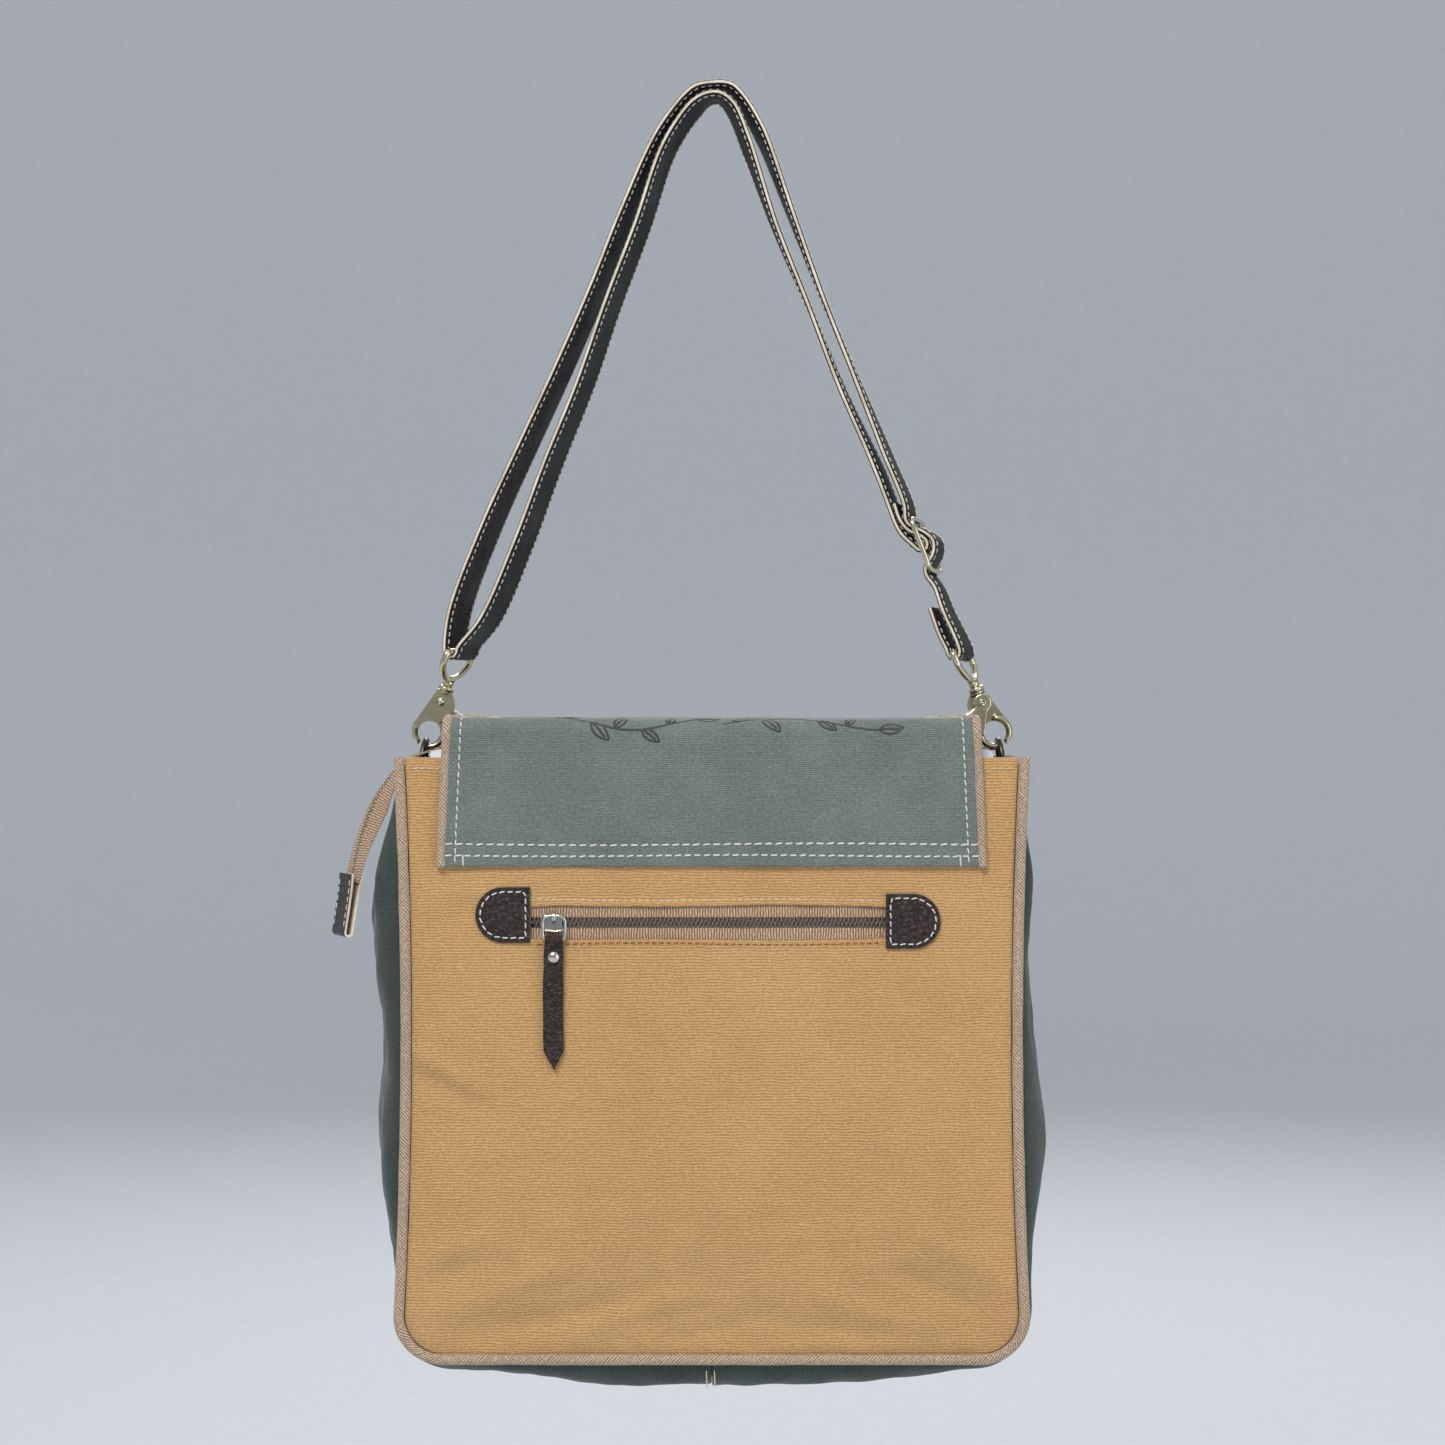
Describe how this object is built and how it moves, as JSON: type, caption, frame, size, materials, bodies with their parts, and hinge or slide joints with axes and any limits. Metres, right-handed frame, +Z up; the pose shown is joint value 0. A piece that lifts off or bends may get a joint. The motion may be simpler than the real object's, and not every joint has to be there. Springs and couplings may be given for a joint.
{
  "type": "messenger bag",
  "caption": "Canvas messenger bag with a fold-over flap, zipped back pocket, top zip, piped seams and an adjustable leather shoulder strap on swivel hooks.",
  "frame": {"origin": "hang point: the middle of the strap's width, under the strap at its highest point", "axes": "+Z up, -Y out of the back panel (the side with the zipped pocket), +X to the right seen from the back"},
  "size_m": [0.4014, 0.1055, 0.7372],
  "materials": {
    "tan_canvas": "ribbed cotton canvas, ochre tan",
    "green_canvas": "washed cotton canvas, grey green",
    "gusset_canvas": "cotton canvas, darker green",
    "piping": "bias-cut cotton over cord, dusty mauve beige",
    "lining": "pale woven lining",
    "zip_tape": "ribbed polyester zip tape, mauve brown",
    "zip_coil": "nylon coil, dark brown",
    "leather": "pebbled dark brown leather with raw cream edges",
    "antique_brass": "antiqued brass plate, worn bright on the edges",
    "dark_bronze": "dark bronze plate",
    "antique_silver": "antiqued nickel plate"
  },
  "bodies": {
    "bag": {"back_panel": "tan_canvas", "front_panel": "green_canvas", "piping_back": "piping", "piping_front": "piping", "gusset_left": "gusset_canvas", "gusset_right": "gusset_canvas", "lining_gusset": "lining", "pouch_outer_ply": "lining", "pouch_inner_ply": "lining", "lining_back": "lining", "lining_front": "lining", "slip_pocket": "lining", "main_zip_coil": "zip_coil", "main_zip_tape_back": "zip_tape", "main_zip_tape_front": "zip_tape", "placket_back": "lining", "placket_front": "lining", "zip_tail": "zip_tape", "zip_tail_tab": "leather", "pocket_zip_tape_upper": "zip_tape", "pocket_zip_tape_lower": "zip_tape", "pocket_zip_coil": "zip_coil", "pocket_tab_left": "leather", "pocket_tab_right": "leather", "flap_back": "green_canvas", "flap_piping_left": "piping", "flap_piping_right": "piping", "snap_bag_half": "antique_silver", "d_ring_left": "dark_bronze", "ring_tab_left": "gusset_canvas", "hook_eye_left": "antique_brass", "d_ring_right": "dark_bronze", "ring_tab_right": "gusset_canvas", "hook_eye_right": "antique_brass", "strap": "leather", "buckle_frame": "antique_brass", "buckle_bar": "antique_brass"},
    "flap": {"flap_front": "green_canvas", "flap_lining": "lining", "flap_front_piping_left": "piping", "flap_front_piping_right": "piping", "snap_flap_half": "antique_silver"},
    "main_slider": {"main_zip_slider": "antique_silver", "main_zip_pull": "antique_silver"},
    "pocket_slider": {"pocket_zip_slider": "antique_silver"},
    "pocket_pull": {"pocket_pull_ring": "antique_silver", "pocket_pull_leather": "leather", "pocket_pull_rivet": "antique_silver"},
    "left_hook": {"hook_body_left": "antique_brass", "lever_rivet_left": "antique_brass", "lever_spring_left": "antique_silver"},
    "left_lever": {"hook_lever_left": "antique_brass"},
    "right_hook": {"hook_body_right": "antique_brass", "lever_rivet_right": "antique_brass", "lever_spring_right": "antique_silver"},
    "right_lever": {"hook_lever_right": "antique_brass"}
  },
  "joints": [
    {"name": "flap_fold", "type": "hinge", "parent": "bag", "child": "flap", "pos_m": [0, 0.016, -0.3504], "axis": [1, 0, 0], "range_deg": [0, 150]},
    {"name": "main_zip_slide", "type": "slide", "parent": "bag", "child": "main_slider", "axis": [-1, 0, 0], "range_m": [0, 0.18]},
    {"name": "pocket_zip_slide", "type": "slide", "parent": "bag", "child": "pocket_slider", "axis": [1, 0, 0], "range_m": [0, 0.168]},
    {"name": "pocket_pull_swing", "type": "hinge", "parent": "pocket_slider", "child": "pocket_pull", "pos_m": [-0.0865, -0.0714, -0.4609], "axis": [-1, 0, 0], "range_deg": [0, 160]},
    {"name": "left_hook_swivel", "type": "hinge", "parent": "bag", "child": "left_hook", "pos_m": [-0.14533, -0.006, -0.32175], "axis": [0.3697, 0, 0.9291], "range_deg": [-20, 20]},
    {"name": "left_lever_press", "type": "hinge", "parent": "left_hook", "child": "left_lever", "pos_m": [-0.15398, -0.006, -0.34349], "axis": [0, -1, 0], "range_deg": [0, 24], "stiffness_Nm_per_rad": 0.06, "springref_deg": -14.32},
    {"name": "right_hook_swivel", "type": "hinge", "parent": "bag", "child": "right_hook", "pos_m": [0.144, -0.006, -0.32231], "axis": [-0.3987, 0, 0.9171], "range_deg": [-20, 20]},
    {"name": "right_lever_press", "type": "hinge", "parent": "right_hook", "child": "right_lever", "pos_m": [0.15333, -0.006, -0.34377], "axis": [0, 1, 0], "range_deg": [0, 24], "stiffness_Nm_per_rad": 0.06, "springref_deg": -14.32}
  ]
}
